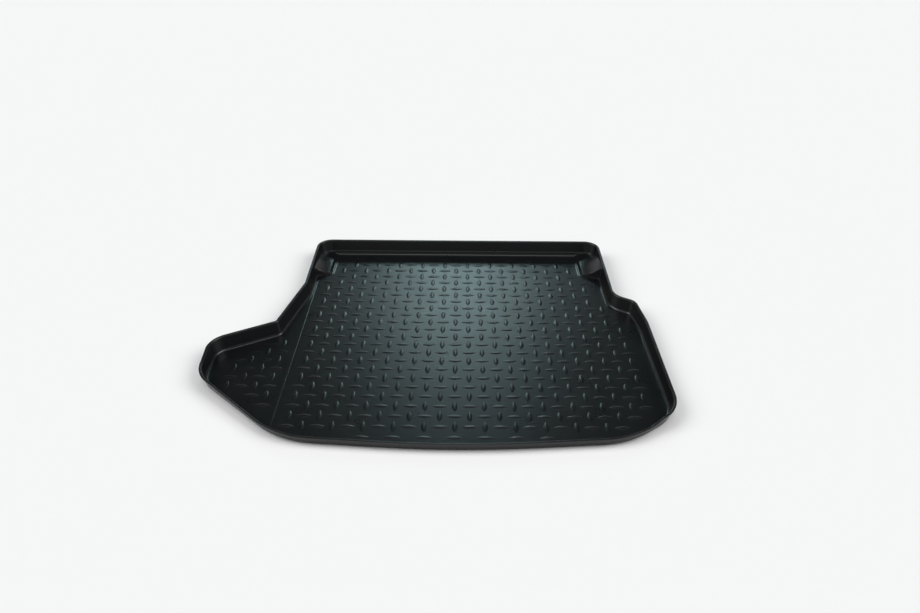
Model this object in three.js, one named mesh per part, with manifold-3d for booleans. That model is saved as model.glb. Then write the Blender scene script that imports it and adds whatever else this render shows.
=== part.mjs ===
// Car boot liner: one moulded tray with leaning walls, a side wing, two corner ramps and a bar tread.
// Millimetres, +Z up, +Y towards the seat back, +X to the right seen from the bumper.
// The origin is on the underside of the floor, on the middle column of the tread.
import * as THREE from 'three';
import Module from 'manifold-3d';

// Sheet and wall section
const SHEET = 3;
const WALL_LEAN = 9.5;
const FOOT_RADIUS = 6;
const LIP_BEND = 4;
const LIP_WIDTH = 8;
const STEP_HEIGHT = 13;
const STEP_DEPTH = 2.5;
const STEP_RISE = 1;

// Wall heights above the floor
const BACK_WALL = 54;
const ARCH_WALL = 48;
const SIDE_WALL = 44;
const WING_WALL = 40;
const FRONT_WALL = 28;

// Plan of the floor, to the foot of the walls
const BACK_Y = 527;
const FRONT_Y = -530;
const LEFT_ARCH_X = -514;
const RIGHT_ARCH_X = 528;
const RIGHT_X = 610;
const BULGE_X = 594;
const WING_X = -745;
const RIGHT_ARCH_Y = 163;
const BULGE_Y = 124;
const RIGHT_WAIST_Y = 20;
const RIGHT_FRONT_Y = -395;
const SHOULDER_X = 470;
const SHOULDER_Y = -495;
const LEFT_ARCH_Y = 233;
const WING_ROOT_X = -565;
const WING_ROOT_Y = -12;
const WING_BACK_Y = -110;
const WING_FRONT_Y = -255;

// Corner radii of the plan
const BACK_RADIUS = 35;
const LEFT_ARCH_RADIUS = 60;
const RIGHT_ARCH_RADIUS = 70;
const WING_ROOT_RADIUS = 24;
const BULGE_RADIUS = 22;
const WAIST_RADIUS = 200;
const RIGHT_FRONT_RADIUS = 110;
const SHOULDER_RADIUS = 260;
const FRONT_RADIUS = 3000;
const WING_FRONT_RADIUS = 110;
const WING_BACK_RADIUS = 60;

// Ramps in the two back corners
const RAMP_FOOT_X = 455;
const RAMP_FRONT_Y = 374;
const RAMP_SKEW = 0.3;
const RAMP_DRAFT = 0.12;
const RISER_RUN = 12;
const RISER_HEIGHT = 7;
const RAMP_SLOPE = 0.28;
const RAMP_CURL = 0.0055;
const RAMP_FALL = 0.8;

// Tread of bars and the bead that parts the wing from the floor
const PITCH = 42;
const TREAD_Y = -18;
const BAR_LENGTH = 43.5;
const BAR_WIDTH = 15;
const BAR_HEIGHT = 1.2;
const RIDGE_LENGTH = 17;
const WALL_MARGIN = 20;
const RAMP_MARGIN = 8;
const BEAD_MARGIN = 8;
const BEAD_COLUMN = -12;
const BEAD_FLANK = 4;
const BEAD_CREST = 0.4;
const BEAD_BACK = 0.8;
const BEAD_HEIGHT = 0.6;

// Fineness of the faceted surfaces, and how deep joined pieces are sunk
const ARC_STEP = THREE.MathUtils.degToRad(20);
const ARC_CHORD = 60;
const BEND_STEPS = 2;
const RAMP_STEPS = 8;
const RAMP_ROWS = 5;
const EMBED = 1;

const lean = THREE.MathUtils.degToRad(WALL_LEAN);
const wasm = await Module();
wasm.setup();

// Corners of the plan, anticlockwise from the back right, with the height of the wall at each.
// The step at the foot of the back wall fades out round the two back corners.
const CORNERS = [
  { x: RIGHT_ARCH_X, y: BACK_Y, radius: BACK_RADIUS, wall: BACK_WALL, step: [0, 1] },
  { x: LEFT_ARCH_X, y: BACK_Y, radius: BACK_RADIUS, wall: BACK_WALL, step: [1, 0] },
  { x: LEFT_ARCH_X, y: LEFT_ARCH_Y, radius: LEFT_ARCH_RADIUS, wall: ARCH_WALL },
  { x: WING_ROOT_X, y: WING_ROOT_Y, radius: WING_ROOT_RADIUS, wall: ARCH_WALL },
  { x: WING_X, y: WING_BACK_Y, radius: WING_BACK_RADIUS, wall: ARCH_WALL },
  { x: WING_X, y: WING_FRONT_Y, radius: WING_FRONT_RADIUS, wall: WING_WALL },
  { x: -SHOULDER_X, y: SHOULDER_Y, radius: SHOULDER_RADIUS, wall: FRONT_WALL },
  { x: 0, y: FRONT_Y, radius: FRONT_RADIUS, wall: FRONT_WALL },
  { x: SHOULDER_X, y: SHOULDER_Y, radius: SHOULDER_RADIUS, wall: FRONT_WALL },
  { x: RIGHT_X, y: RIGHT_FRONT_Y, radius: RIGHT_FRONT_RADIUS, wall: WING_WALL },
  { x: RIGHT_X, y: RIGHT_WAIST_Y, radius: WAIST_RADIUS, wall: SIDE_WALL },
  { x: BULGE_X, y: BULGE_Y, radius: BULGE_RADIUS, wall: ARCH_WALL },
  { x: RIGHT_ARCH_X, y: RIGHT_ARCH_Y, radius: RIGHT_ARCH_RADIUS, wall: ARCH_WALL },
];

// Points round the plan with its corners rounded, each with its outward normal and its wall.
function planStations() {
  return CORNERS.flatMap((corner, index) => {
    const here = new THREE.Vector2(corner.x, corner.y);
    const before = CORNERS.at(index - 1);
    const after = CORNERS[(index + 1) % CORNERS.length];
    const into = here.clone().sub(new THREE.Vector2(before.x, before.y)).normalize();
    const away = new THREE.Vector2(after.x, after.y).sub(here).normalize();
    const turn = Math.atan2(into.cross(away), into.dot(away));
    const radius = corner.radius * Math.sign(turn);
    const outward = (heading) => new THREE.Vector2(Math.sin(heading), -Math.cos(heading));
    const start = here.clone().addScaledVector(into, -radius * Math.tan(turn / 2));
    const centre = start.clone().addScaledVector(outward(into.angle()), -radius);
    const steps = Math.max(2, Math.ceil(Math.abs(turn) / ARC_STEP), Math.ceil(radius * turn / ARC_CHORD));
    const [stepStart, stepEnd] = corner.step ?? [0, 0];
    return Array.from({ length: steps + 1 }, (_, k) => {
      const share = k / steps;
      const normal = outward(into.angle() + turn * share);
      return {
        point: centre.clone().addScaledVector(normal, radius),
        normal,
        wall: corner.wall,
        step: STEP_DEPTH * THREE.MathUtils.lerp(stepStart, stepEnd, share),
      };
    });
  });
}

// Points of an arc in the wall section, as [distance outward, height].
function sectionArc(centre, radius, from, to) {
  return Array.from({ length: BEND_STEPS + 1 }, (_, k) => {
    const angle = THREE.MathUtils.lerp(from, to, k / BEND_STEPS);
    return [centre[0] + radius * Math.cos(angle), centre[1] + radius * Math.sin(angle)];
  });
}

// The wall's section at one station: up the inside, over the lip and down the outside.
function wallSection({ wall, step }) {
  const footRun = FOOT_RADIUS * Math.tan((Math.PI / 2 - lean) / 2);
  const footCentre = [-footRun, SHEET + FOOT_RADIUS];
  const crestOut = wall * Math.tan(lean) + step;
  const bendCentre = [crestOut + LIP_BEND * Math.tan((Math.PI / 2 - lean) / 2), SHEET + wall - LIP_BEND];
  const lipOut = crestOut + LIP_WIDTH;
  const ledge = [
    [STEP_HEIGHT * Math.tan(lean), SHEET + STEP_HEIGHT],
    [(STEP_HEIGHT + STEP_RISE) * Math.tan(lean) + step, SHEET + STEP_HEIGHT + STEP_RISE],
  ];
  const ledgeTurn = Math.PI / 2 - lean - Math.atan2(STEP_RISE, STEP_DEPTH);
  const ledgeDrop = SHEET * Math.tan(ledgeTurn / 2);
  const under = ([out, up]) => [
    out + SHEET * Math.cos(lean) - ledgeDrop * Math.sin(lean),
    up - SHEET * Math.sin(lean) - ledgeDrop * Math.cos(lean),
  ];
  return [
    ...sectionArc(footCentre, FOOT_RADIUS, -Math.PI / 2, -lean),
    ...ledge,
    ...sectionArc(bendCentre, LIP_BEND, Math.PI - lean, Math.PI / 2),
    [lipOut, SHEET + wall],
    [lipOut, wall],
    ...sectionArc(bendCentre, LIP_BEND - SHEET, Math.PI / 2, Math.PI - lean),
    ...ledge.map(under).reverse(),
    ...sectionArc(footCentre, FOOT_RADIUS + SHEET, -lean, -Math.PI / 2),
  ];
}

// A closed skin over rings of equal length, its two ends filled as seen through the flatten function.
function skin(rings, flatten) {
  const count = rings[0].length;
  const faces = [];
  for (let ring = 0; ring + 1 < rings.length; ring += 1) {
    for (let k = 0; k < count; k += 1) {
      const next = (k + 1) % count;
      const [a, b] = [ring * count + k, ring * count + next];
      faces.push(a, a + count, b + count, a, b + count, b);
    }
  }
  const last = (rings.length - 1) * count;
  for (const [a, b, c] of THREE.ShapeUtils.triangulateShape(rings[0].map(flatten), [])) {
    faces.push(a, b, c);
  }
  for (const [a, b, c] of THREE.ShapeUtils.triangulateShape(rings.at(-1).map(flatten), [])) {
    faces.push(last + a, last + c, last + b);
  }
  return solid(rings.flat(), faces);
}

const fromAbove = (point) => new THREE.Vector2(point.x, point.y);
const fromFront = (point) => new THREE.Vector2(point.x, point.z);

// A solid for joining and cutting, from points and a list of triangle corners.
function solid(points, faces) {
  const vertProperties = new Float32Array(points.flatMap((point) => point.toArray()));
  return new wasm.Manifold(new wasm.Mesh({ numProp: 3, vertProperties, triVerts: new Uint32Array(faces) }));
}

// The tray: the wall's section carried round the plan, closed by the two faces of the floor.
function tray(stations) {
  const sections = stations.map(wallSection);
  const rings = sections[0].map((_, level) => stations.map(({ point, normal }, k) => {
    const [out, up] = sections[k][level];
    return new THREE.Vector3(point.x + normal.x * out, point.y + normal.y * out, up);
  }));
  return skin(rings, fromAbove);
}

// Everything within the middle of the walls, up to the lowest lip bend: what joins the tray is kept to it.
function trayRoom(stations) {
  const ring = (height) => stations.map(({ point, normal, wall }) => {
    const out = SHEET / 2 + Math.min(height, wall) * Math.tan(lean);
    return new THREE.Vector3(point.x + normal.x * out, point.y + normal.y * out, SHEET / 2 + height);
  });
  return skin([ring(BACK_WALL), ring(0)], fromAbove);
}

// Height over the floor of a ramp, or of the hollow a sheet below it when drop is the sheet's thickness,
// by the distance out from its riser and the share of the way back. It ends level with the arch's wall.
const rampHeight = (out, back, drop) => {
  const fall = 1 - RAMP_FALL * back * back;
  const rise = (RAMP_SLOPE * out + RAMP_CURL * out * out) * fall;
  const slope = (RAMP_SLOPE + 2 * RAMP_CURL * out) * fall;
  return Math.min(RISER_HEIGHT + rise - drop * Math.hypot(1, slope), ARCH_WALL - drop);
};

// A ramp's body, or the hollow under it when drop is the sheet's thickness.
function ramp(side, drop) {
  const archX = side > 0 ? RIGHT_ARCH_X : -LEFT_ARCH_X;
  const topWidth = archX - RAMP_FOOT_X - RISER_RUN + ARCH_WALL * Math.tan(lean);
  const depth = BACK_Y - RAMP_FRONT_Y;
  const overrun = LIP_WIDTH + LIP_BEND + SHEET;
  const floorLine = drop > 0 ? -SHEET : SHEET - EMBED;
  const steepness = RISER_HEIGHT / RISER_RUN;
  const footOut = (floorLine - SHEET + drop * Math.hypot(1, steepness)) / steepness;
  const rings = Array.from({ length: RAMP_ROWS + 1 }, (_, row) => {
    const back = row / RAMP_ROWS;
    const crest = Array.from({ length: RAMP_STEPS + 1 }, (_, k) => {
      const out = THREE.MathUtils.lerp(drop, topWidth, k / RAMP_STEPS);
      return [RISER_RUN + out, SHEET + rampHeight(out, back, drop)];
    });
    const reach = crest.at(-1)[0] + overrun;
    const section = [[footOut, floorLine], [reach, floorLine], [reach, crest.at(-1)[1]], ...crest.reverse()];
    const ring = section.map(([out, up]) => {
      const front = RAMP_FRONT_Y - RAMP_SKEW * out + RAMP_DRAFT * up + drop * Math.hypot(1, RAMP_SKEW);
      return new THREE.Vector3(side * (RAMP_FOOT_X + out), front + back * (depth + overrun), up);
    });
    return side > 0 ? ring : ring.reverse();
  });
  return skin(rings, fromFront);
}

// The thin bead along the floor, from the left ramp to the front wall, gentle on the tread's side.
function bead() {
  const x = BEAD_COLUMN * PITCH;
  const width = BEAD_BACK + BEAD_CREST + BEAD_FLANK;
  const [left, right] = [-width / 2, width / 2];
  const section = [[left, SHEET - EMBED], [right, SHEET - EMBED], [right, SHEET],
    [right - BEAD_FLANK, SHEET + BEAD_HEIGHT], [left + BEAD_BACK, SHEET + BEAD_HEIGHT], [left, SHEET]];
  const ring = (y) => section.map(([across, up]) => new THREE.Vector3(x + across, y, up));
  return skin([ring(FRONT_Y), ring(RAMP_FRONT_Y)], fromFront);
}

// How far a point lies inside the foot of the walls, negative outside it.
function depthInside(point, stations) {
  let nearest = Infinity;
  let inside = false;
  stations.forEach(({ point: a }, k) => {
    const b = stations[(k + 1) % stations.length].point;
    const along = b.clone().sub(a);
    const toPoint = point.clone().sub(a);
    const share = THREE.MathUtils.clamp(toPoint.dot(along) / along.lengthSq(), 0, 1);
    nearest = Math.min(nearest, toPoint.addScaledVector(along, -share).length());
    const crosses = (a.y > point.y) !== (b.y > point.y);
    if (crosses && point.x < a.x + ((point.y - a.y) / (b.y - a.y)) * (b.x - a.x)) {
      inside = !inside;
    }
  });
  return inside ? nearest : -nearest;
}

// Whether a tread point keeps its margin from the walls, the ramps and the bead.
function isOpenFloor(point, stations) {
  const out = Math.abs(point.x) - RAMP_FOOT_X;
  const onRamp = out > -RAMP_MARGIN && point.y > RAMP_FRONT_Y - RAMP_SKEW * Math.max(out, 0) - RAMP_MARGIN;
  const nearBead = Math.abs(point.x - BEAD_COLUMN * PITCH) < BEAD_MARGIN;
  return !onRamp && !nearBead && depthInside(point, stations) >= WALL_MARGIN;
}

// One low bar with a lens plan and a short ridge, sunk a little into the floor.
function bar(x, y, isCrosswise) {
  const turned = (along, across) => (isCrosswise ? [along, across] : [-across, along]);
  const place = (along, across, up) => {
    const [dx, dy] = turned(along, across);
    return new THREE.Vector3(x + dx, y + dy, up);
  };
  const plan = [[BAR_LENGTH / 2, 0], [0, BAR_WIDTH / 2], [-BAR_LENGTH / 2, 0], [0, -BAR_WIDTH / 2]];
  return [
    ...plan.map(([along, across]) => place(along, across, SHEET - EMBED)),
    ...plan.map(([along, across]) => place(along, across, SHEET)),
    place(RIDGE_LENGTH / 2, 0, SHEET + BAR_HEIGHT),
    place(-RIDGE_LENGTH / 2, 0, SHEET + BAR_HEIGHT),
  ];
}

const BAR_FACES = [
  0, 2, 1, 0, 3, 2, 0, 1, 5, 0, 5, 4, 1, 2, 6, 1, 6, 5, 2, 3, 7, 2, 7, 6, 3, 0, 4, 3, 4, 7,
  4, 5, 8, 5, 9, 8, 5, 6, 9, 6, 7, 9, 7, 8, 9, 7, 4, 8,
];

// The tread: bars on a square grid, turned by a quarter from each to the next.
function tread(stations) {
  const points = [];
  const faces = [];
  const columns = Math.ceil(-WING_X / PITCH);
  const rows = Math.ceil(BACK_Y / PITCH);
  for (let column = -columns; column <= columns; column += 1) {
    for (let row = -rows; row <= rows; row += 1) {
      const corners = bar(column * PITCH, TREAD_Y + row * PITCH, (column + row) % 2 !== 0);
      if (corners.slice(0, 4).every((corner) => isOpenFloor(fromAbove(corner), stations))) {
        faces.push(...BAR_FACES.map((corner) => corner + points.length));
        points.push(...corners);
      }
    }
  }
  return solid(points, faces);
}

// The finished liner as one closed body.
function liner() {
  const stations = planStations();
  const room = trayRoom(stations);
  let body = tray(stations);
  for (const side of [-1, 1]) {
    body = body.add(ramp(side, 0).intersect(room));
  }
  body = body.add(bead().intersect(room)).add(tread(stations));
  for (const side of [-1, 1]) {
    body = body.subtract(ramp(side, SHEET));
  }
  return body;
}

// The solid as a drawable geometry.
function toGeometry(body) {
  const mesh = body.getMesh();
  const geometry = new THREE.BufferGeometry();
  geometry.setAttribute('position', new THREE.BufferAttribute(mesh.vertProperties, 3));
  geometry.setIndex(new THREE.BufferAttribute(mesh.triVerts, 1));
  geometry.computeVertexNormals();
  return geometry;
}

const satinPlastic = new THREE.MeshStandardMaterial({ color: '#1d2022', roughness: 0.5, metalness: 0 });
const bootLiner = new THREE.Mesh(toGeometry(liner()), satinPlastic);
bootLiner.name = 'boot_liner';

const model = new THREE.Group();
model.add(bootLiner);
export default model;
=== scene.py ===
"""A moulded boot liner in satin black plastic, on a pale studio floor, seen from over its front wall.

The tray's sizes are in millimetres, and are turned to metres where its mesh and its grain are made. The
camera's place and the studio floor are in metres. +X is to the right, +Y towards the back wall and +Z
up, as in the frame.
"""
import math
from collections import namedtuple

import bpy
import numpy as np
from mathutils import Matrix, Vector
from mathutils.geometry import delaunay_2d_cdt


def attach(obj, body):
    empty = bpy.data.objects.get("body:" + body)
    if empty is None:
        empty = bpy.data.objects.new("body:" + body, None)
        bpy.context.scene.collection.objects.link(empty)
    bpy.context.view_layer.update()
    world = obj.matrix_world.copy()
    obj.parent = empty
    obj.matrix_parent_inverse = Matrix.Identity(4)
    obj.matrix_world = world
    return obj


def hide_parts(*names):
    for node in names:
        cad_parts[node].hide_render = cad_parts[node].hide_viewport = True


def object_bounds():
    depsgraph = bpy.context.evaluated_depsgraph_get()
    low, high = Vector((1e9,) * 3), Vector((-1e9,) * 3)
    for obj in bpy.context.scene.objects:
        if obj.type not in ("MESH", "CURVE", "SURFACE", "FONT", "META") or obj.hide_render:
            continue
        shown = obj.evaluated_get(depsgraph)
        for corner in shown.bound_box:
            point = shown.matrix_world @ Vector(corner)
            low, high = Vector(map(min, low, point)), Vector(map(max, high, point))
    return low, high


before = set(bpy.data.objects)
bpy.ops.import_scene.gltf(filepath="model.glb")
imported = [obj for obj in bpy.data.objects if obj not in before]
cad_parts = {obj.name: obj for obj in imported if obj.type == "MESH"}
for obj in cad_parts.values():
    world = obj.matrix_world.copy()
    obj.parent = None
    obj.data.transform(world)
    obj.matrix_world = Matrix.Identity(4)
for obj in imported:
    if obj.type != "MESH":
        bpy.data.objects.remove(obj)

CAD_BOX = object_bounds()
MM = 0.001

# Sheet and wall section
SHEET = 3.0
WALL_LEAN = math.radians(9.5)
FOOT_RADIUS = 8.0
ABOVE_FOOT = 8.0
LIP_BEND = 4.0
LIP_WIDTH = 8.0
STEP_HEIGHT = 13.0
STEP_DEPTH = 2.5
STEP_RISE = 1.0
UNDER_STEP_RISE = 8.0
FLAT_EDGE = 0.4

# Wall heights above the floor, the highest one read from the frame
BACK_WALL = CAD_BOX[1].z / MM - SHEET
ARCH_WALL = 48.0
SIDE_WALL = 44.0
WING_WALL = 40.0
FRONT_WALL = 28.0

# Plan of the floor, to the foot of the walls
BACK_Y = 527.0
LEFT_ARCH_X = -514.0
RIGHT_ARCH_X = 528.0

# Ramps in the two back corners
RAMP_FOOT_X = 455.0
RAMP_FRONT_Y = 374.0
RAMP_SKEW = 0.3
RAMP_DRAFT = 0.12
RAMP_LENGTH = 168.0
RISER_RUN = 12.0
RISER_HEIGHT = 7.0
RAMP_SLOPE = 0.28
RAMP_CURL = 0.0055
RAMP_FALL = 0.8
RISER_BLEND = 1.5
EDGE_BLEND = 9.0
TOP_BLEND = 12.0
FLOOR_BLEND = 2.5
WALL_BLEND = 9.0
LEAST_BLEND_SHARE = 0.05

# Tread of bars and the bead that parts the wing from the floor
PITCH = 42.0
TREAD_Y = -18.0
BAR_LENGTH = 43.5
BAR_WIDTH = 15.0
BAR_HEIGHT = 1.0
WALL_MARGIN = 20.0
RAMP_MARGIN = 8.0
BEAD_MARGIN = 8.0
BEAD_X = -12 * PITCH
BEAD_WIDTH = 3.6
BEAD_HEIGHT = 0.3
BEAD_CREST = 0.65
BEAD_END_GAP = 9.0
SKIRT = 0.6

# Fineness of the surfaces
ARC_STEP = math.radians(6)
ARC_CHORD = 16.0
LEAST_ARC_STEPS = 3
STRAIGHT_STEP = 40.0
FOOT_STEPS = 8
FACE_STEPS = 8
BEND_STEPS = 7
LIP_NODE_GAP = 1.2
LIP_EDGE_ANGLES = np.radians([60, 30, 0, -30, -60])
STATION_GAP = 2.0
BEAD_SEARCH_Y = -500.0
BEAD_SEARCH_STEPS = 200
MERGE_DISTANCE = 1e-4
SHARP_ANGLE = math.radians(42)
STEP_NODES = np.array([-0.3, 0, 0.2, 0.4, 0.6, 0.8, 1, 1.3])
BAR_CELLS = (12, 6)
BEAD_CELLS = (40, 8)
BAR_BLUNTNESS = 2
BEAD_BLUNTNESS = 60

# Stations on the arch walls beside a ramp, along Y, and on the back wall behind it, along X
FACE_ROWS = np.arange(RAMP_FRONT_Y - 30, RAMP_FRONT_Y - 4, 0.8)
TOP_ROWS = np.arange(RAMP_FRONT_Y - 1, BACK_Y - 35, 9.0)
RISER_COLUMNS = np.arange(RAMP_FOOT_X - 6, RAMP_FOOT_X + 17, 1.0)
TOP_COLUMNS = np.arange(RAMP_FOOT_X + 20, RAMP_FOOT_X + 32, 4.0)

# Points over a ramp: distances out from its foot line, and distances or shares back from its front line
GRID_RISER = np.concatenate([[-4.5, -3.3, -2.2, -1.1], np.arange(0, 15, 0.9)])
GRID_TOP = np.concatenate([[16.5, 18.5], np.arange(22, 67, 4.9)])
GRID_BEFORE = np.array([-4.5, -2.6, -1.2])
GRID_FACE = np.array([0, 0.12, 0.24, 0.36, 0.48, 0.6, 0.72, 0.84, 0.94, 1])
GRID_AFTER = np.array([0.5, 1.1, 1.9, 3, 5, 9.0])
GRID_BACK_STEPS = 17

Corner = namedtuple("Corner", "x y radius wall step_in step_out", defaults=(0.0, 0.0))

# Corners of the plan, anticlockwise from the back right. The step fades out round the back corners.
CORNERS = (
    Corner(RIGHT_ARCH_X, BACK_Y, 35, BACK_WALL, 0, 1),
    Corner(LEFT_ARCH_X, BACK_Y, 35, BACK_WALL, 1, 0),
    Corner(LEFT_ARCH_X, 233, 60, ARCH_WALL),
    Corner(-565, -12, 24, ARCH_WALL),
    Corner(-745, -110, 60, ARCH_WALL),
    Corner(-745, -255, 110, WING_WALL),
    Corner(-470, -495, 260, FRONT_WALL),
    Corner(0, -530, 3000, FRONT_WALL),
    Corner(470, -495, 260, FRONT_WALL),
    Corner(610, -395, 110, WING_WALL),
    Corner(610, 20, 200, SIDE_WALL),
    Corner(594, 124, 22, ARCH_WALL),
    Corner(RIGHT_ARCH_X, 163, 70, ARCH_WALL),
)


def smooth_max(a, b, reach):
    """The greater of a and b. Where they differ by less than reach, a parabola rounds the change over."""
    nearness = np.maximum(reach - np.abs(a - b), 0) / reach
    return np.maximum(a, b) + nearness ** 2 * reach / 4


def smooth_min(a, b, reach):
    """The lesser of a and b, rounded over as smooth_max is."""
    return -smooth_max(-a, -b, reach)


def smooth_step(share):
    """3 s^2 - 2 s^3, from 0 to 1 with flat ends."""
    share = np.clip(share, 0, 1)
    return share * share * (3 - 2 * share)


def unit(vectors):
    """Vectors divided by their lengths."""
    return vectors / np.linalg.norm(vectors, axis=-1, keepdims=True)


def straight_shares(start, end):
    """Shares of the way along a straight at which it gets a station.

    They lie STRAIGHT_STEP apart, and much closer where a ramp's face or riser meets the wall.
    """
    count = math.ceil(math.dist(start, end) / STRAIGHT_STEP)
    shares = np.arange(1, count) / count
    beside_ramp = abs(start[0] - end[0]) < 1 and max(start[1], end[1]) > RAMP_FRONT_Y
    behind_ramp = min(start[1], end[1]) > BACK_Y - 1
    if beside_ramp:
        rows = np.concatenate([FACE_ROWS, TOP_ROWS])
        shares = shares[start[1] + shares * (end[1] - start[1]) < rows[0] - STATION_GAP]
        fine = (rows - start[1]) / (end[1] - start[1])
    elif behind_ramp:
        columns = np.concatenate([RISER_COLUMNS, TOP_COLUMNS])
        across = np.abs(start[0] + shares * (end[0] - start[0]))
        shares = shares[across < columns[0] - STATION_GAP]
        fine = (np.concatenate([columns, -columns]) - start[0]) / (end[0] - start[0])
    else:
        fine = shares[:0]
    fine = fine[(fine > 0) & (fine < 1)]
    return np.sort(np.concatenate([shares, fine]))


def rounded_plan():
    """Stations round the plan: arrays of points, outward normals, wall heights and step depths.

    A corner's point is its arc's centre plus the radius times the normal, which turns evenly from one
    side's normal to the next. A straight's points, heights and steps run evenly between its two arcs.
    """
    corner = np.array([(c.x, c.y) for c in CORNERS])
    into = unit(corner - np.roll(corner, 1, axis=0))
    away = np.roll(into, -1, axis=0)
    turn = np.arctan2(into[:, 0] * away[:, 1] - into[:, 1] * away[:, 0], (into * away).sum(axis=1))
    radius = np.array([c.radius for c in CORNERS]) * np.sign(turn)
    run = (radius * np.tan(turn / 2))[:, None]
    start, end = corner - into * run, corner + away * run
    centre = start - np.column_stack([into[:, 1], -into[:, 0]]) * radius[:, None]
    parts = []
    for k, here in enumerate(CORNERS):
        after = CORNERS[(k + 1) % len(CORNERS)]
        arc = abs(radius[k] * turn[k])
        steps = math.ceil(max(LEAST_ARC_STEPS, abs(turn[k]) / ARC_STEP, arc / ARC_CHORD))
        share = np.linspace(0, 1, steps + 1)
        heading = math.atan2(into[k, 1], into[k, 0]) + turn[k] * share
        normal = np.column_stack([np.sin(heading), -np.cos(heading)])
        step = here.step_in + (here.step_out - here.step_in) * share
        parts.append((centre[k] + normal * radius[k], normal, np.full(steps + 1, here.wall), step))
        goal = start[(k + 1) % len(CORNERS)]
        share = straight_shares(end[k], goal)
        points = end[k] + (goal - end[k]) * share[:, None]
        normal = np.tile((away[k, 1], -away[k, 0]), (len(share), 1))
        wall = here.wall + (after.wall - here.wall) * share
        step = here.step_out + (after.step_in - here.step_out) * share
        parts.append((points, normal, wall, step))
    points, normal, wall, step = (np.concatenate(column) for column in zip(*parts))
    return points, normal, wall, step * STEP_DEPTH


def wall_nodes(wall, step, step_rise):
    """The wall's inner face at each station, as arrays of distance out and height, a row for each node.

    A flat edge on the floor, the foot's arc, the leaning face with its step, the arc at the top and the
    flat lip. On the face, out = height x tan(lean) + step x smooth_step of the height over the step.
    """
    foot_run = FOOT_RADIUS * math.tan((math.pi / 2 - WALL_LEAN) / 2)
    foot = np.linspace(-math.pi / 2, -WALL_LEAN, FOOT_STEPS + 1)[:, None]
    foot_out = FOOT_RADIUS * np.cos(foot) - foot_run + 0 * wall
    foot_up = FOOT_RADIUS * np.sin(foot) + FOOT_RADIUS + 0 * wall
    below = np.full((1, len(wall)), ABOVE_FOOT)
    on_step = STEP_NODES[:, None] * step_rise + STEP_HEIGHT + 0 * wall
    face_end = wall - LIP_BEND * (1 - math.sin(WALL_LEAN))
    step_end = STEP_HEIGHT + UNDER_STEP_RISE * STEP_NODES[-1]
    share = np.linspace(0, 1, FACE_STEPS + 1)[1:-1, None]
    above = step_end + (face_end - step_end) * share
    face_up = np.concatenate([below, on_step, above])
    face_out = face_up * math.tan(WALL_LEAN) + step * smooth_step((face_up - STEP_HEIGHT) / step_rise)
    crest = wall * math.tan(WALL_LEAN) + step
    bend = np.linspace(math.pi - WALL_LEAN, math.pi / 2, BEND_STEPS + 1)[:, None]
    bend_out = crest + LIP_BEND * (math.tan((math.pi / 2 - WALL_LEAN) / 2) + np.cos(bend))
    bend_up = wall - LIP_BEND + LIP_BEND * np.sin(bend)
    lip_out = crest + LIP_WIDTH - SHEET / 2 - np.array([LIP_NODE_GAP, 0])[:, None]
    edge = np.full((1, len(wall)), -foot_run - FLAT_EDGE)
    out = np.concatenate([edge, foot_out, face_out, bend_out, lip_out])
    up = np.concatenate([0 * edge, foot_up, face_up, bend_up, wall + 0 * lip_out])
    return out, up + SHEET


def ramp_height(x, y, wall):
    """Height of the two corner ramps over the plan, far below the floor where there is no ramp.

    The crest is the riser's height plus slope x t + curl x t^2, with t the distance out from the riser,
    and falls away towards the back. The riser, which is its height x share^3 at a share of its run, the
    front face and the wall's top cut it down smoothly.
    """
    out = np.abs(x) - RAMP_FOOT_X
    front = RAMP_FRONT_Y - RAMP_SKEW * out
    back = np.clip((y - front) / RAMP_LENGTH, 0, 1)
    t = np.maximum(out - RISER_RUN, 0)
    crest = RISER_HEIGHT + (RAMP_SLOPE * t + RAMP_CURL * t * t) * (1 - RAMP_FALL * back ** 2)
    share = out / RISER_RUN
    riser = RISER_HEIGHT * np.where(share > 0, share ** 3, share)
    height = smooth_min(smooth_min(crest, ARCH_WALL, TOP_BLEND), riser, RISER_BLEND)
    height = smooth_min(height, (y - front) / RAMP_DRAFT - SHEET, EDGE_BLEND)
    return SHEET + smooth_min(height, wall, FLOOR_BLEND)


def with_ramps(x, y, up, wall):
    """Heights raised to the ramps: the smooth greater of the two.

    The fillet's reach is the floor's up to one foot radius above the floor, grows to the walls' at two,
    and shrinks again towards the lip.
    """
    above = up - SHEET
    fillet = FLOOR_BLEND + (WALL_BLEND - FLOOR_BLEND) * np.clip(above / FOOT_RADIUS - 1, 0, 1)
    fillet = fillet * np.clip((wall - above) / LIP_BEND, LEAST_BLEND_SHARE, 1)
    return smooth_max(up, ramp_height(x, y, wall), fillet)


def wall_band(plan, step_rise):
    """The wall's section carried round the plan, as points by node and station.

    A point is the station's own, plus its outward normal times the node's distance out.
    """
    points, normal, wall, step = plan
    out, up = wall_nodes(wall, step, step_rise)
    x = points[:, 0] + normal[:, 0] * out
    y = points[:, 1] + normal[:, 1] * out
    return np.stack([x, y, with_ramps(x, y, up, wall)], axis=-1)


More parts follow.
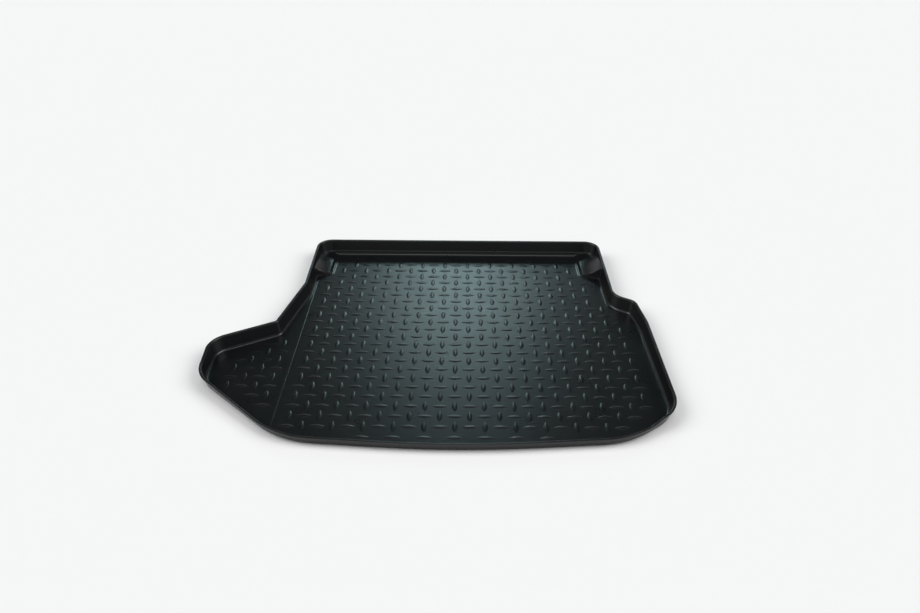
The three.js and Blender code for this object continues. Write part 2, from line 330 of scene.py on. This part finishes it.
def depth_inside(places, outline):
    """Distance from each place to the outline, negative outside it.

    The distance is the least over the outline's sides, and a place is inside where a line to its right
    crosses the sides an odd number of times.
    """
    a, b = outline, np.roll(outline, -1, axis=0)
    along = b - a
    offset = places[:, None, :] - a
    share = np.clip((offset * along).sum(axis=2) / (along ** 2).sum(axis=1), 0, 1)
    distance = np.linalg.norm(offset - along * share[..., None], axis=2).min(axis=1)
    y = places[:, 1, None]
    spans = (a[:, 1] > y) != (b[:, 1] > y)
    rise = np.where(b[:, 1] == a[:, 1], 1, b[:, 1] - a[:, 1])
    crossing = a[:, 0] + (y - a[:, 1]) / rise * (b[:, 0] - a[:, 0])
    inside = (spans & (places[:, 0, None] < crossing)).sum(axis=1) % 2 == 1
    return np.where(inside, distance, -distance)


def ramp_grid(outline):
    """Points over both ramps, close together along the riser and the front face.

    Columns run along Y. A row on the front face lies at a share of its height, so that every column has
    as many rows on the face.
    """
    out = np.concatenate([GRID_RISER, GRID_TOP])
    t = np.maximum(out - RISER_RUN, 0)
    top = SHEET + np.minimum(RISER_HEIGHT + RAMP_SLOPE * t + RAMP_CURL * t * t, ARCH_WALL)
    front = RAMP_FRONT_Y - RAMP_SKEW * out
    before = GRID_BEFORE[:, None] + 0 * out
    face = GRID_FACE[:, None] * top * RAMP_DRAFT
    after = GRID_AFTER[:, None] + top * RAMP_DRAFT
    share = np.linspace(0, 1, GRID_BACK_STEPS + 1)[1:, None]
    behind = share * (BACK_Y - FOOT_RADIUS - front - after[-1]) + after[-1]
    y = front + np.concatenate([before, face, after, behind])
    x = RAMP_FOOT_X + out + 0 * y
    right = np.column_stack([x.ravel(), y.ravel()])
    both = np.concatenate([right, right * (-1, 1)])
    return both[depth_inside(both, outline) > FOOT_RADIUS + FLAT_EDGE]


def bump(length, width, height, cells, bluntness, crest=0.0):
    """A low bump on the floor: points, with its flat skirt first, and triangles.

    The plan's half width is half the width x (1 - |2a / length|^bluntness) at the place a along it, and
    the height is the full height x that share^0.8 x (1 - r^2). With s running from -1 to 1 across, r is
    the distance of s from the crest over the distance of that side's foot from it.
    """
    along_cells, across_cells = cells
    place = -np.cos(np.linspace(0, math.pi, along_cells + 1))
    share = 1 - np.abs(place) ** bluntness
    s = np.sin(np.linspace(-math.pi / 2, math.pi / 2, across_cells + 1))
    r = (s - crest) / np.where(s < crest, 1 + crest, 1 - crest)
    inner = np.zeros((along_cells - 1, across_cells + 1, 3))
    inner[..., 0] = place[1:-1, None] * length / 2
    inner[..., 1] = share[1:-1, None] * s * width / 2
    inner[..., 2] = share[1:-1, None] ** 0.8 * (1 - r ** 2) * height
    tips = np.array([[-length / 2, 0, 0], [length / 2, 0, 0]])
    number = 2 + np.arange(inner.shape[0] * inner.shape[1]).reshape(inner.shape[:2])
    ring = np.concatenate([[0], number[:, 0], [1], number[::-1, -1]])
    points = np.concatenate([tips, inner.reshape(-1, 3)])
    edge = points[ring, :2]
    tangent = unit(np.roll(edge, -1, axis=0) - np.roll(edge, 1, axis=0))
    skirt = np.zeros((len(ring), 3))
    skirt[:, :2] = edge + np.column_stack([tangent[:, 1], -tangent[:, 0]]) * SKIRT
    a, b, c, d = number[:-1, :-1], number[1:, :-1], number[1:, 1:], number[:-1, 1:]
    faces = [np.stack([a, b, c], axis=-1).reshape(-1, 3), np.stack([a, c, d], axis=-1).reshape(-1, 3)]
    first, last = number[0], number[-1]
    faces.append(np.column_stack([np.zeros_like(first[1:]), first[:-1], first[1:]]))
    faces.append(np.column_stack([np.ones_like(last[1:]), last[1:], last[:-1]]))
    faces = [np.concatenate(faces) + len(ring)]
    outer = np.arange(len(ring))
    following = np.roll(outer, -1)
    rim, rim_following = ring + len(ring), ring[following] + len(ring)
    faces.append(np.column_stack([outer, following, rim_following]))
    faces.append(np.column_stack([outer, rim_following, rim]))
    return np.concatenate([skirt, points]), np.concatenate(faces), len(ring)


def tread_places(outline):
    """Centres of the bars that fit whole on the open floor, and whether each lies across the tray.

    A bar lies at every crossing of a square grid, across the tray where column plus row is odd and along
    it where that is even. It is kept if its four outermost points are clear of walls, ramps and bead.
    """
    most = np.ceil(np.abs(outline).max(axis=0) / PITCH).astype(int)
    columns, rows = (np.arange(-count, count + 1) for count in most)
    column, row = (grid.ravel() for grid in np.meshgrid(columns, rows))
    centre = np.column_stack([column * PITCH, TREAD_Y + row * PITCH])
    crosswise = (column + row) % 2 != 0
    reach = np.array([[BAR_LENGTH / 2, 0], [0, BAR_WIDTH / 2]])
    reach = np.concatenate([reach, -reach])
    ends = centre[:, None, :] + np.where(crosswise[:, None, None], reach, reach[:, ::-1])
    flat = ends.reshape(-1, 2)
    out = np.abs(flat[:, 0]) - RAMP_FOOT_X
    front = RAMP_FRONT_Y - RAMP_SKEW * np.maximum(out, 0)
    clear = (out < -RAMP_MARGIN) | (flat[:, 1] < front - RAMP_MARGIN)
    clear &= np.abs(flat[:, 0] - BEAD_X) >= BEAD_MARGIN
    clear &= depth_inside(flat, outline) >= WALL_MARGIN
    whole = clear.reshape(-1, 4).all(axis=1)
    return centre[whole], crosswise[whole]


def placed(template, centres, crosswise):
    """Copies of a bump's points at the centres, turned a quarter where they don't lie crosswise."""
    x, y, up = template.T
    turned = np.stack([np.where(crosswise[:, None], x, -y), np.where(crosswise[:, None], y, x)], axis=-1)
    height = np.broadcast_to(up + SHEET, turned.shape[:2])
    return np.concatenate([turned + centres[:, None, :], height[..., None]], axis=2)


def floor_bumps(outline):
    """Every bar and the bead: a list of (points by copy, triangles of one, length of its skirt).

    The bead runs straight along the tray, from a gap behind the front wall to half a gap short of the ramp.
    """
    template, faces, skirt = bump(BAR_LENGTH, BAR_WIDTH, BAR_HEIGHT, BAR_CELLS, BAR_BLUNTNESS)
    centres, crosswise = tread_places(outline)
    bars = placed(template, centres, crosswise), faces, skirt
    line_y = np.linspace(BEAD_SEARCH_Y, RAMP_FRONT_Y, BEAD_SEARCH_STEPS)
    line = np.column_stack([np.full(BEAD_SEARCH_STEPS, BEAD_X), line_y])
    out = abs(BEAD_X) - RAMP_FOOT_X
    on_floor = depth_inside(line, outline) > BEAD_END_GAP
    low = line[on_floor][0, 1]
    high = RAMP_FRONT_Y - RAMP_SKEW * out - BEAD_END_GAP / 2
    template, faces, skirt = bump(
        high - low, BEAD_WIDTH, BEAD_HEIGHT, BEAD_CELLS, BEAD_BLUNTNESS, BEAD_CREST,
    )
    bead = placed(template, np.array([[BEAD_X, (low + high) / 2]]), np.array([False])), faces, skirt
    return [bars, bead]


def fill_plan(points, loops):
    """Triangles over the plan points inside the first loop, with every loop's sides kept as edges."""
    edges = [pair for loop in loops for pair in zip(loop.tolist(), np.roll(loop, -1).tolist())]
    places = [Vector(point) for point in points.tolist()]
    inside_only = 1
    result = delaunay_2d_cdt(places, edges, [], inside_only, MERGE_DISTANCE)
    source = np.array([owners[0] for owners in result[3]])
    return source[np.array(result[2])]


def band_faces(nodes, stations):
    """Quads between neighbouring nodes and stations of a band, facing up or inward."""
    number = np.arange(nodes * stations).reshape(nodes, stations)
    following = np.roll(number, -1, axis=1)
    quads = np.stack([number[:-1], number[1:], following[1:], following[:-1]], axis=-1)
    return quads.reshape(-1, 4)


def vertex_normals(points, quads, triangles):
    """Unit normals at the points: the sum of their faces' area vectors, made one long."""
    total = np.zeros_like(points)
    halves = np.concatenate([quads[:, [0, 1, 2]], quads[:, [0, 2, 3]], triangles])
    a, b, c = (points[halves[:, k]] for k in range(3))
    area = np.cross(b - a, c - a)
    for k in range(3):
        np.add.at(total, halves[:, k], area)
    return unit(total)


def smooth_side(plan, step_rise):
    """A side of the sheet without its tread: points, the numbers of those on the floor, the band's shape.

    The band's points come first and the ramps' after them. On the floor are the band's first row and
    every ramp point.
    """
    band = wall_band(plan, step_rise)
    nodes, stations = band.shape[:2]
    grid = ramp_grid(plan[0])
    grid_up = with_ramps(grid[:, 0], grid[:, 1], np.full(len(grid), SHEET), plan[2].max())
    points = np.concatenate([band.reshape(-1, 3), np.column_stack([grid, grid_up])])
    on_floor = np.concatenate([np.arange(stations), nodes * stations + np.arange(len(grid))])
    return points, on_floor, (nodes, stations)


def top_side(plan):
    """The tray's upper side with its tread: points, quads, triangles and the band's shape."""
    points, on_floor, (nodes, stations) = smooth_side(plan, STEP_RISE)
    loops, triangles = [np.arange(stations)], []
    points, on_floor, owners = [points], [on_floor], [np.full(len(on_floor), -1)]
    for copies, faces, skirt in floor_bumps(plan[0]):
        number, size = copies.shape[:2]
        starts = sum(len(part) for part in points) + size * np.arange(number)
        first = sum(len(part) for part in on_floor)
        loops.extend(first + np.arange(number * skirt).reshape(number, skirt))
        points.append(copies.reshape(-1, 3))
        triangles.append((faces + starts[:, None, None]).reshape(-1, 3))
        on_floor.append((starts[:, None] + np.arange(skirt)).ravel())
        owners.append(np.repeat(starts, skirt))
    points, on_floor, owners = (np.concatenate(parts) for parts in (points, on_floor, owners))
    fill = fill_plan(points[on_floor, :2], loops)
    owner = owners[fill]
    in_bump = (owner[:, 0] >= 0) & (owner == owner[:, :1]).all(axis=1)
    triangles.append(on_floor[fill[~in_bump]])
    return points, band_faces(nodes, stations), np.concatenate(triangles), (nodes, stations)


def under_side(plan):
    """The tray's underside: the upper side without its tread, moved one sheet inward along its normals."""
    points, on_floor, (nodes, stations) = smooth_side(plan, UNDER_STEP_RISE)
    triangles = on_floor[fill_plan(points[on_floor, :2], [np.arange(stations)])]
    quads = band_faces(nodes, stations)
    return points - SHEET * vertex_normals(points, quads, triangles), quads, triangles


def lip_edge(upper, lower, normal):
    """Rings round the lip's edge: a half circle from the upper ring to the lower one, bulging outward."""
    angle = LIP_EDGE_ANGLES[:, None, None]
    outward = np.column_stack([normal, np.zeros(len(normal))])
    middle = (upper + lower) / 2
    return middle + SHEET / 2 * (np.cos(angle) * outward + np.sin(angle) * (0, 0, 1))


def liner_mesh():
    """The whole moulding as one closed mesh: upper side, lip's edge and underside."""
    plan = rounded_plan()
    top, quads, triangles, (nodes, stations) = top_side(plan)
    under, under_quads, under_triangles = under_side(plan)
    last = (nodes - 1) * stations
    edge = lip_edge(top[last:last + stations], under[last:last + stations], plan[1])
    points = np.concatenate([top, edge.reshape(-1, 3), under])
    edge_start, under_start = len(top), len(top) + edge.shape[0] * stations
    rings = np.concatenate([
        last + np.arange(stations)[None],
        edge_start + np.arange(edge.shape[0] * stations).reshape(-1, stations),
        under_start + last + np.arange(stations)[None],
    ])
    edge_quads = rings.ravel()[band_faces(len(rings), stations)]
    quads = np.concatenate([quads, edge_quads, (under_quads + under_start)[:, ::-1]])
    triangles = np.concatenate([triangles, (under_triangles + under_start)[:, ::-1]])
    mesh = bpy.data.meshes.new("boot_liner_moulding")
    mesh.from_pydata((points * MM).tolist(), [], quads.tolist() + triangles.tolist())
    mesh.shade_smooth()
    mesh.set_sharp_from_angle(angle=SHARP_ANGLE)
    return mesh


def linear(hex_colour):
    """An sRGB hex colour as linear RGBA."""
    channels = [int(hex_colour[k:k + 2], 16) / 255 for k in (1, 3, 5)]
    return [c / 12.92 if c <= 0.04045 else ((c + 0.055) / 1.055) ** 2.4 for c in channels] + [1.0]


def add_node(tree, kind, settings=None, **links):
    """A node with its settings, and its sockets set to values or joined to other nodes' sockets."""
    node = tree.nodes.new(kind)
    for name, value in (settings or {}).items():
        setattr(node, name, value)
    for name, value in links.items():
        socket = node.inputs[int(name[1:])] if name[0] == "_" else node.inputs[name.replace("_", " ")]
        if isinstance(value, bpy.types.NodeSocket):
            tree.links.new(value, socket)
        else:
            socket.default_value = value
    return node


def new_material(name):
    """An empty node material and its tree."""
    material = bpy.data.materials.new(name)
    material.use_nodes = True
    material.node_tree.nodes.clear()
    return material, material.node_tree


def moulded_polyethylene():
    """Black polyethylene, vacuum moulded from sheet.

    The mould's etched grain makes it satin: soft broad reflections, finely broken up, and a surface that
    is a little glossier in some places than in others.
    """
    material, tree = new_material("moulded_polyethylene")
    place = add_node(tree, "ShaderNodeTexCoord").outputs["Object"]
    # Such a grain is about half a millimetre across, too fine to show here, so it is drawn coarser.
    grain_size = 1.4 * MM
    haze_size = 90 * MM
    grain = add_node(
        tree, "ShaderNodeTexNoise", Vector=place, Scale=1 / grain_size, Detail=2.0, Roughness=0.6,
    )
    haze = add_node(
        tree, "ShaderNodeTexNoise", Vector=place, Scale=1 / haze_size, Detail=3.0, Roughness=0.55,
    )
    gloss = add_node(
        tree, "ShaderNodeMapRange", Value=haze.outputs["Fac"],
        From_Min=0.3, From_Max=0.7, To_Min=0.27, To_Max=0.30,
    )
    tint = add_node(
        tree, "ShaderNodeMix", {"data_type": "RGBA"}, Factor=haze.outputs["Fac"],
        _6=linear("#0a0c0e"), _7=linear("#0d1011"),
    )
    relief = add_node(
        tree, "ShaderNodeBump", Height=grain.outputs["Fac"], Strength=0.25, Distance=0.03 * MM,
    )
    shader = add_node(
        tree, "ShaderNodeBsdfPrincipled", Base_Color=tint.outputs[2], Roughness=gloss.outputs["Result"],
        IOR=1.5, Normal=relief.outputs["Normal"],
    )
    add_node(tree, "ShaderNodeOutputMaterial", Surface=shader.outputs["BSDF"])
    return material


def studio_floor():
    """Matt painted board, pale and even, so that only the tray's shadow shows on it."""
    material, tree = new_material("matt_painted_board")
    shader = add_node(tree, "ShaderNodeBsdfDiffuse", Color=linear("#f4f4f4"))
    add_node(tree, "ShaderNodeOutputMaterial", Surface=shader.outputs["BSDF"])
    return material


def make_liner():
    """The moulding in place of the frame's solid."""
    piece = bpy.data.objects.new("boot_liner_moulding", liner_mesh())
    bpy.context.scene.collection.objects.link(piece)
    piece.data.materials.append(moulded_polyethylene())
    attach(piece, "root")
    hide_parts("boot_liner")


def make_floor():
    """A large flat floor under the tray."""
    half = 12.0
    mesh = bpy.data.meshes.new("studio_floor")
    corners = [(-half, -half, 0), (half, -half, 0), (half, half, 0), (-half, half, 0)]
    mesh.from_pydata(corners, [], [(0, 1, 2, 3)])
    mesh.materials.append(studio_floor())
    floor = bpy.data.objects.new("studio_floor", mesh)
    bpy.context.scene.collection.objects.link(floor)


def add_softbox(name, bearing, height, width, level, colour="#ffffff"):
    """A soft light so far off that it lights the whole floor alike.

    The bearing in degrees is counted to the right from the view's direction, the height is in degrees
    over the floor, the width is its own angle, and the level is what it gives a surface that faces it.
    """
    lamp = bpy.data.lights.new(name, "SUN")
    lamp.angle = math.radians(width)
    lamp.energy = level * math.pi
    lamp.color = linear(colour)[:3]
    softbox = bpy.data.objects.new(name, lamp)
    about, tilt = math.radians(-bearing), math.radians(height - 90)
    softbox.matrix_world = Matrix.Rotation(about, 4, "Z") @ Matrix.Rotation(tilt, 4, "X")
    bpy.context.scene.collection.objects.link(softbox)


def make_light():
    """Wide softboxes at the sides and overhead, a small one whose image lies along the feet of the walls,
    and a low one behind, which the tray's floor mirrors to the camera.
    """
    add_softbox("softbox_left", -95, 40, 40, 0.54)
    add_softbox("softbox_right", 95, 40, 40, 0.54)
    add_softbox("softbox_overhead", 0, 90, 60, 0.15)
    add_softbox("softbox_over_camera", 180, 78, 24, 0.13)
    add_softbox("softbox_behind", 0, 31.7, 12, 0.064, "#d7fbff")


def make_backdrop():
    """A pale backdrop all round. The tray mirrors its lower part, and takes hardly any light from it."""
    seen, mirrored, unlit = 0.905, 0.75, 0.02
    top_of_mirrored, end_of_fade = math.radians(15), math.radians(27)
    world = bpy.data.worlds.new("pale_backdrop")
    world.use_nodes = True
    tree = world.node_tree
    tree.nodes.clear()
    direction = add_node(tree, "ShaderNodeTexCoord").outputs["Generated"]
    rise = add_node(tree, "ShaderNodeSeparateXYZ", Vector=direction).outputs["Z"]
    band = add_node(
        tree, "ShaderNodeMapRange", {"interpolation_type": "SMOOTHSTEP"}, Value=rise,
        From_Min=math.sin(top_of_mirrored), From_Max=math.sin(end_of_fade), To_Min=mirrored, To_Max=unlit,
    )
    ray = add_node(tree, "ShaderNodeLightPath")
    to_tray = add_node(
        tree, "ShaderNodeMix", {"data_type": "FLOAT"}, Factor=ray.outputs["Is Glossy Ray"],
        _2=unlit, _3=band.outputs["Result"],
    )
    strength = add_node(
        tree, "ShaderNodeMix", {"data_type": "FLOAT"}, Factor=ray.outputs["Is Camera Ray"],
        _2=to_tray.outputs[0], _3=seen,
    )
    air = add_node(
        tree, "ShaderNodeBackground", Color=linear("#ffffff"), Strength=strength.outputs[0],
    )
    add_node(tree, "ShaderNodeOutputWorld", Surface=air.outputs["Background"])
    bpy.context.scene.world = world


def make_camera():
    """The viewpoint, over the front wall and looking down into the tray."""
    place = (0.006, -1.846, 1.325)
    down, left, roll = math.radians(33.36), math.radians(-0.24), math.radians(0.57)
    camera = bpy.data.cameras.new("camera")
    camera.lens = 27.2
    camera.sensor_width = 36
    camera.clip_end = 100
    viewpoint = bpy.data.objects.new("camera", camera)
    aim = Matrix.Rotation(left, 4, "Z") @ Matrix.Rotation(math.pi / 2 - down, 4, "X")
    viewpoint.matrix_world = Matrix.Translation(place) @ aim @ Matrix.Rotation(roll, 4, "Z")
    bpy.context.scene.collection.objects.link(viewpoint)
    bpy.context.scene.camera = viewpoint


make_camera()
make_liner()
make_floor()
make_light()
make_backdrop()
bpy.context.scene.view_settings.view_transform = "Standard"
